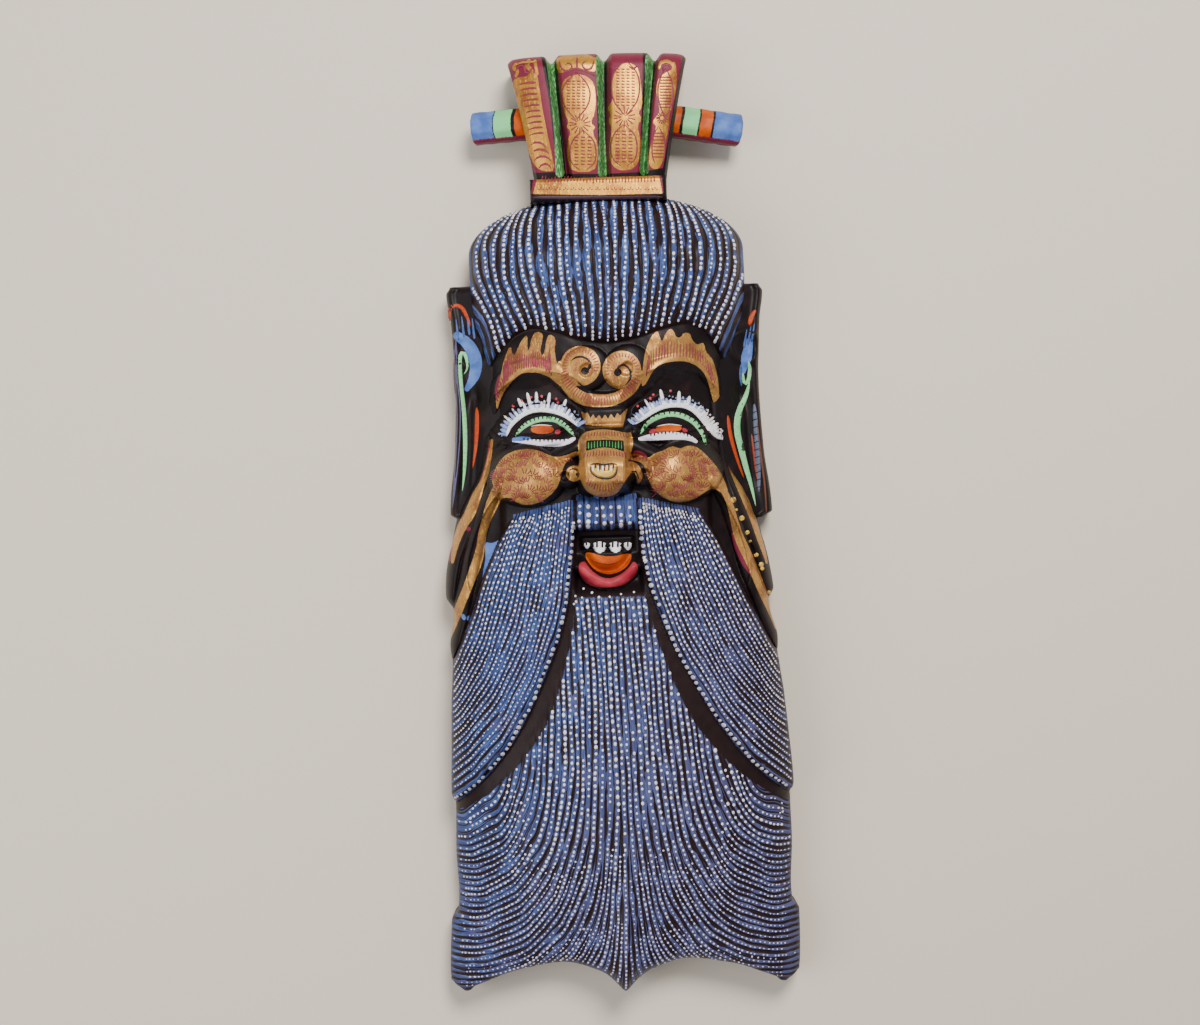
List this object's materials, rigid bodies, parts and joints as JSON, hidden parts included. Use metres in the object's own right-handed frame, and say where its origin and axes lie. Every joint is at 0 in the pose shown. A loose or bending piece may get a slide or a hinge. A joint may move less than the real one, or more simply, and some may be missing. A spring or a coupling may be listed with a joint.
{
  "type": "nuo opera mask",
  "caption": "Hollow-backed carved wooden face mask of a bearded old man under a tall lobed crown with a hairpin, painted black, blue and gold, to wear or to hang.",
  "frame": {"origin": "under the middle of the mask's bounding box, on the plane of the flat rim of its hollow back", "axes": "+X across the mask to the viewer's right, +Y along it towards the top of the crown, +Z out of the face"},
  "size_m": [0.1824, 0.4801, 0.0861],
  "materials": {
    "lacquered_wood": "black gloss lacquer over carved wood, painted by hand in blue, gold, maroon and mint"
  },
  "bodies": {
    "root": {"nuo_mask": "lacquered_wood"}
  },
  "joints": []
}
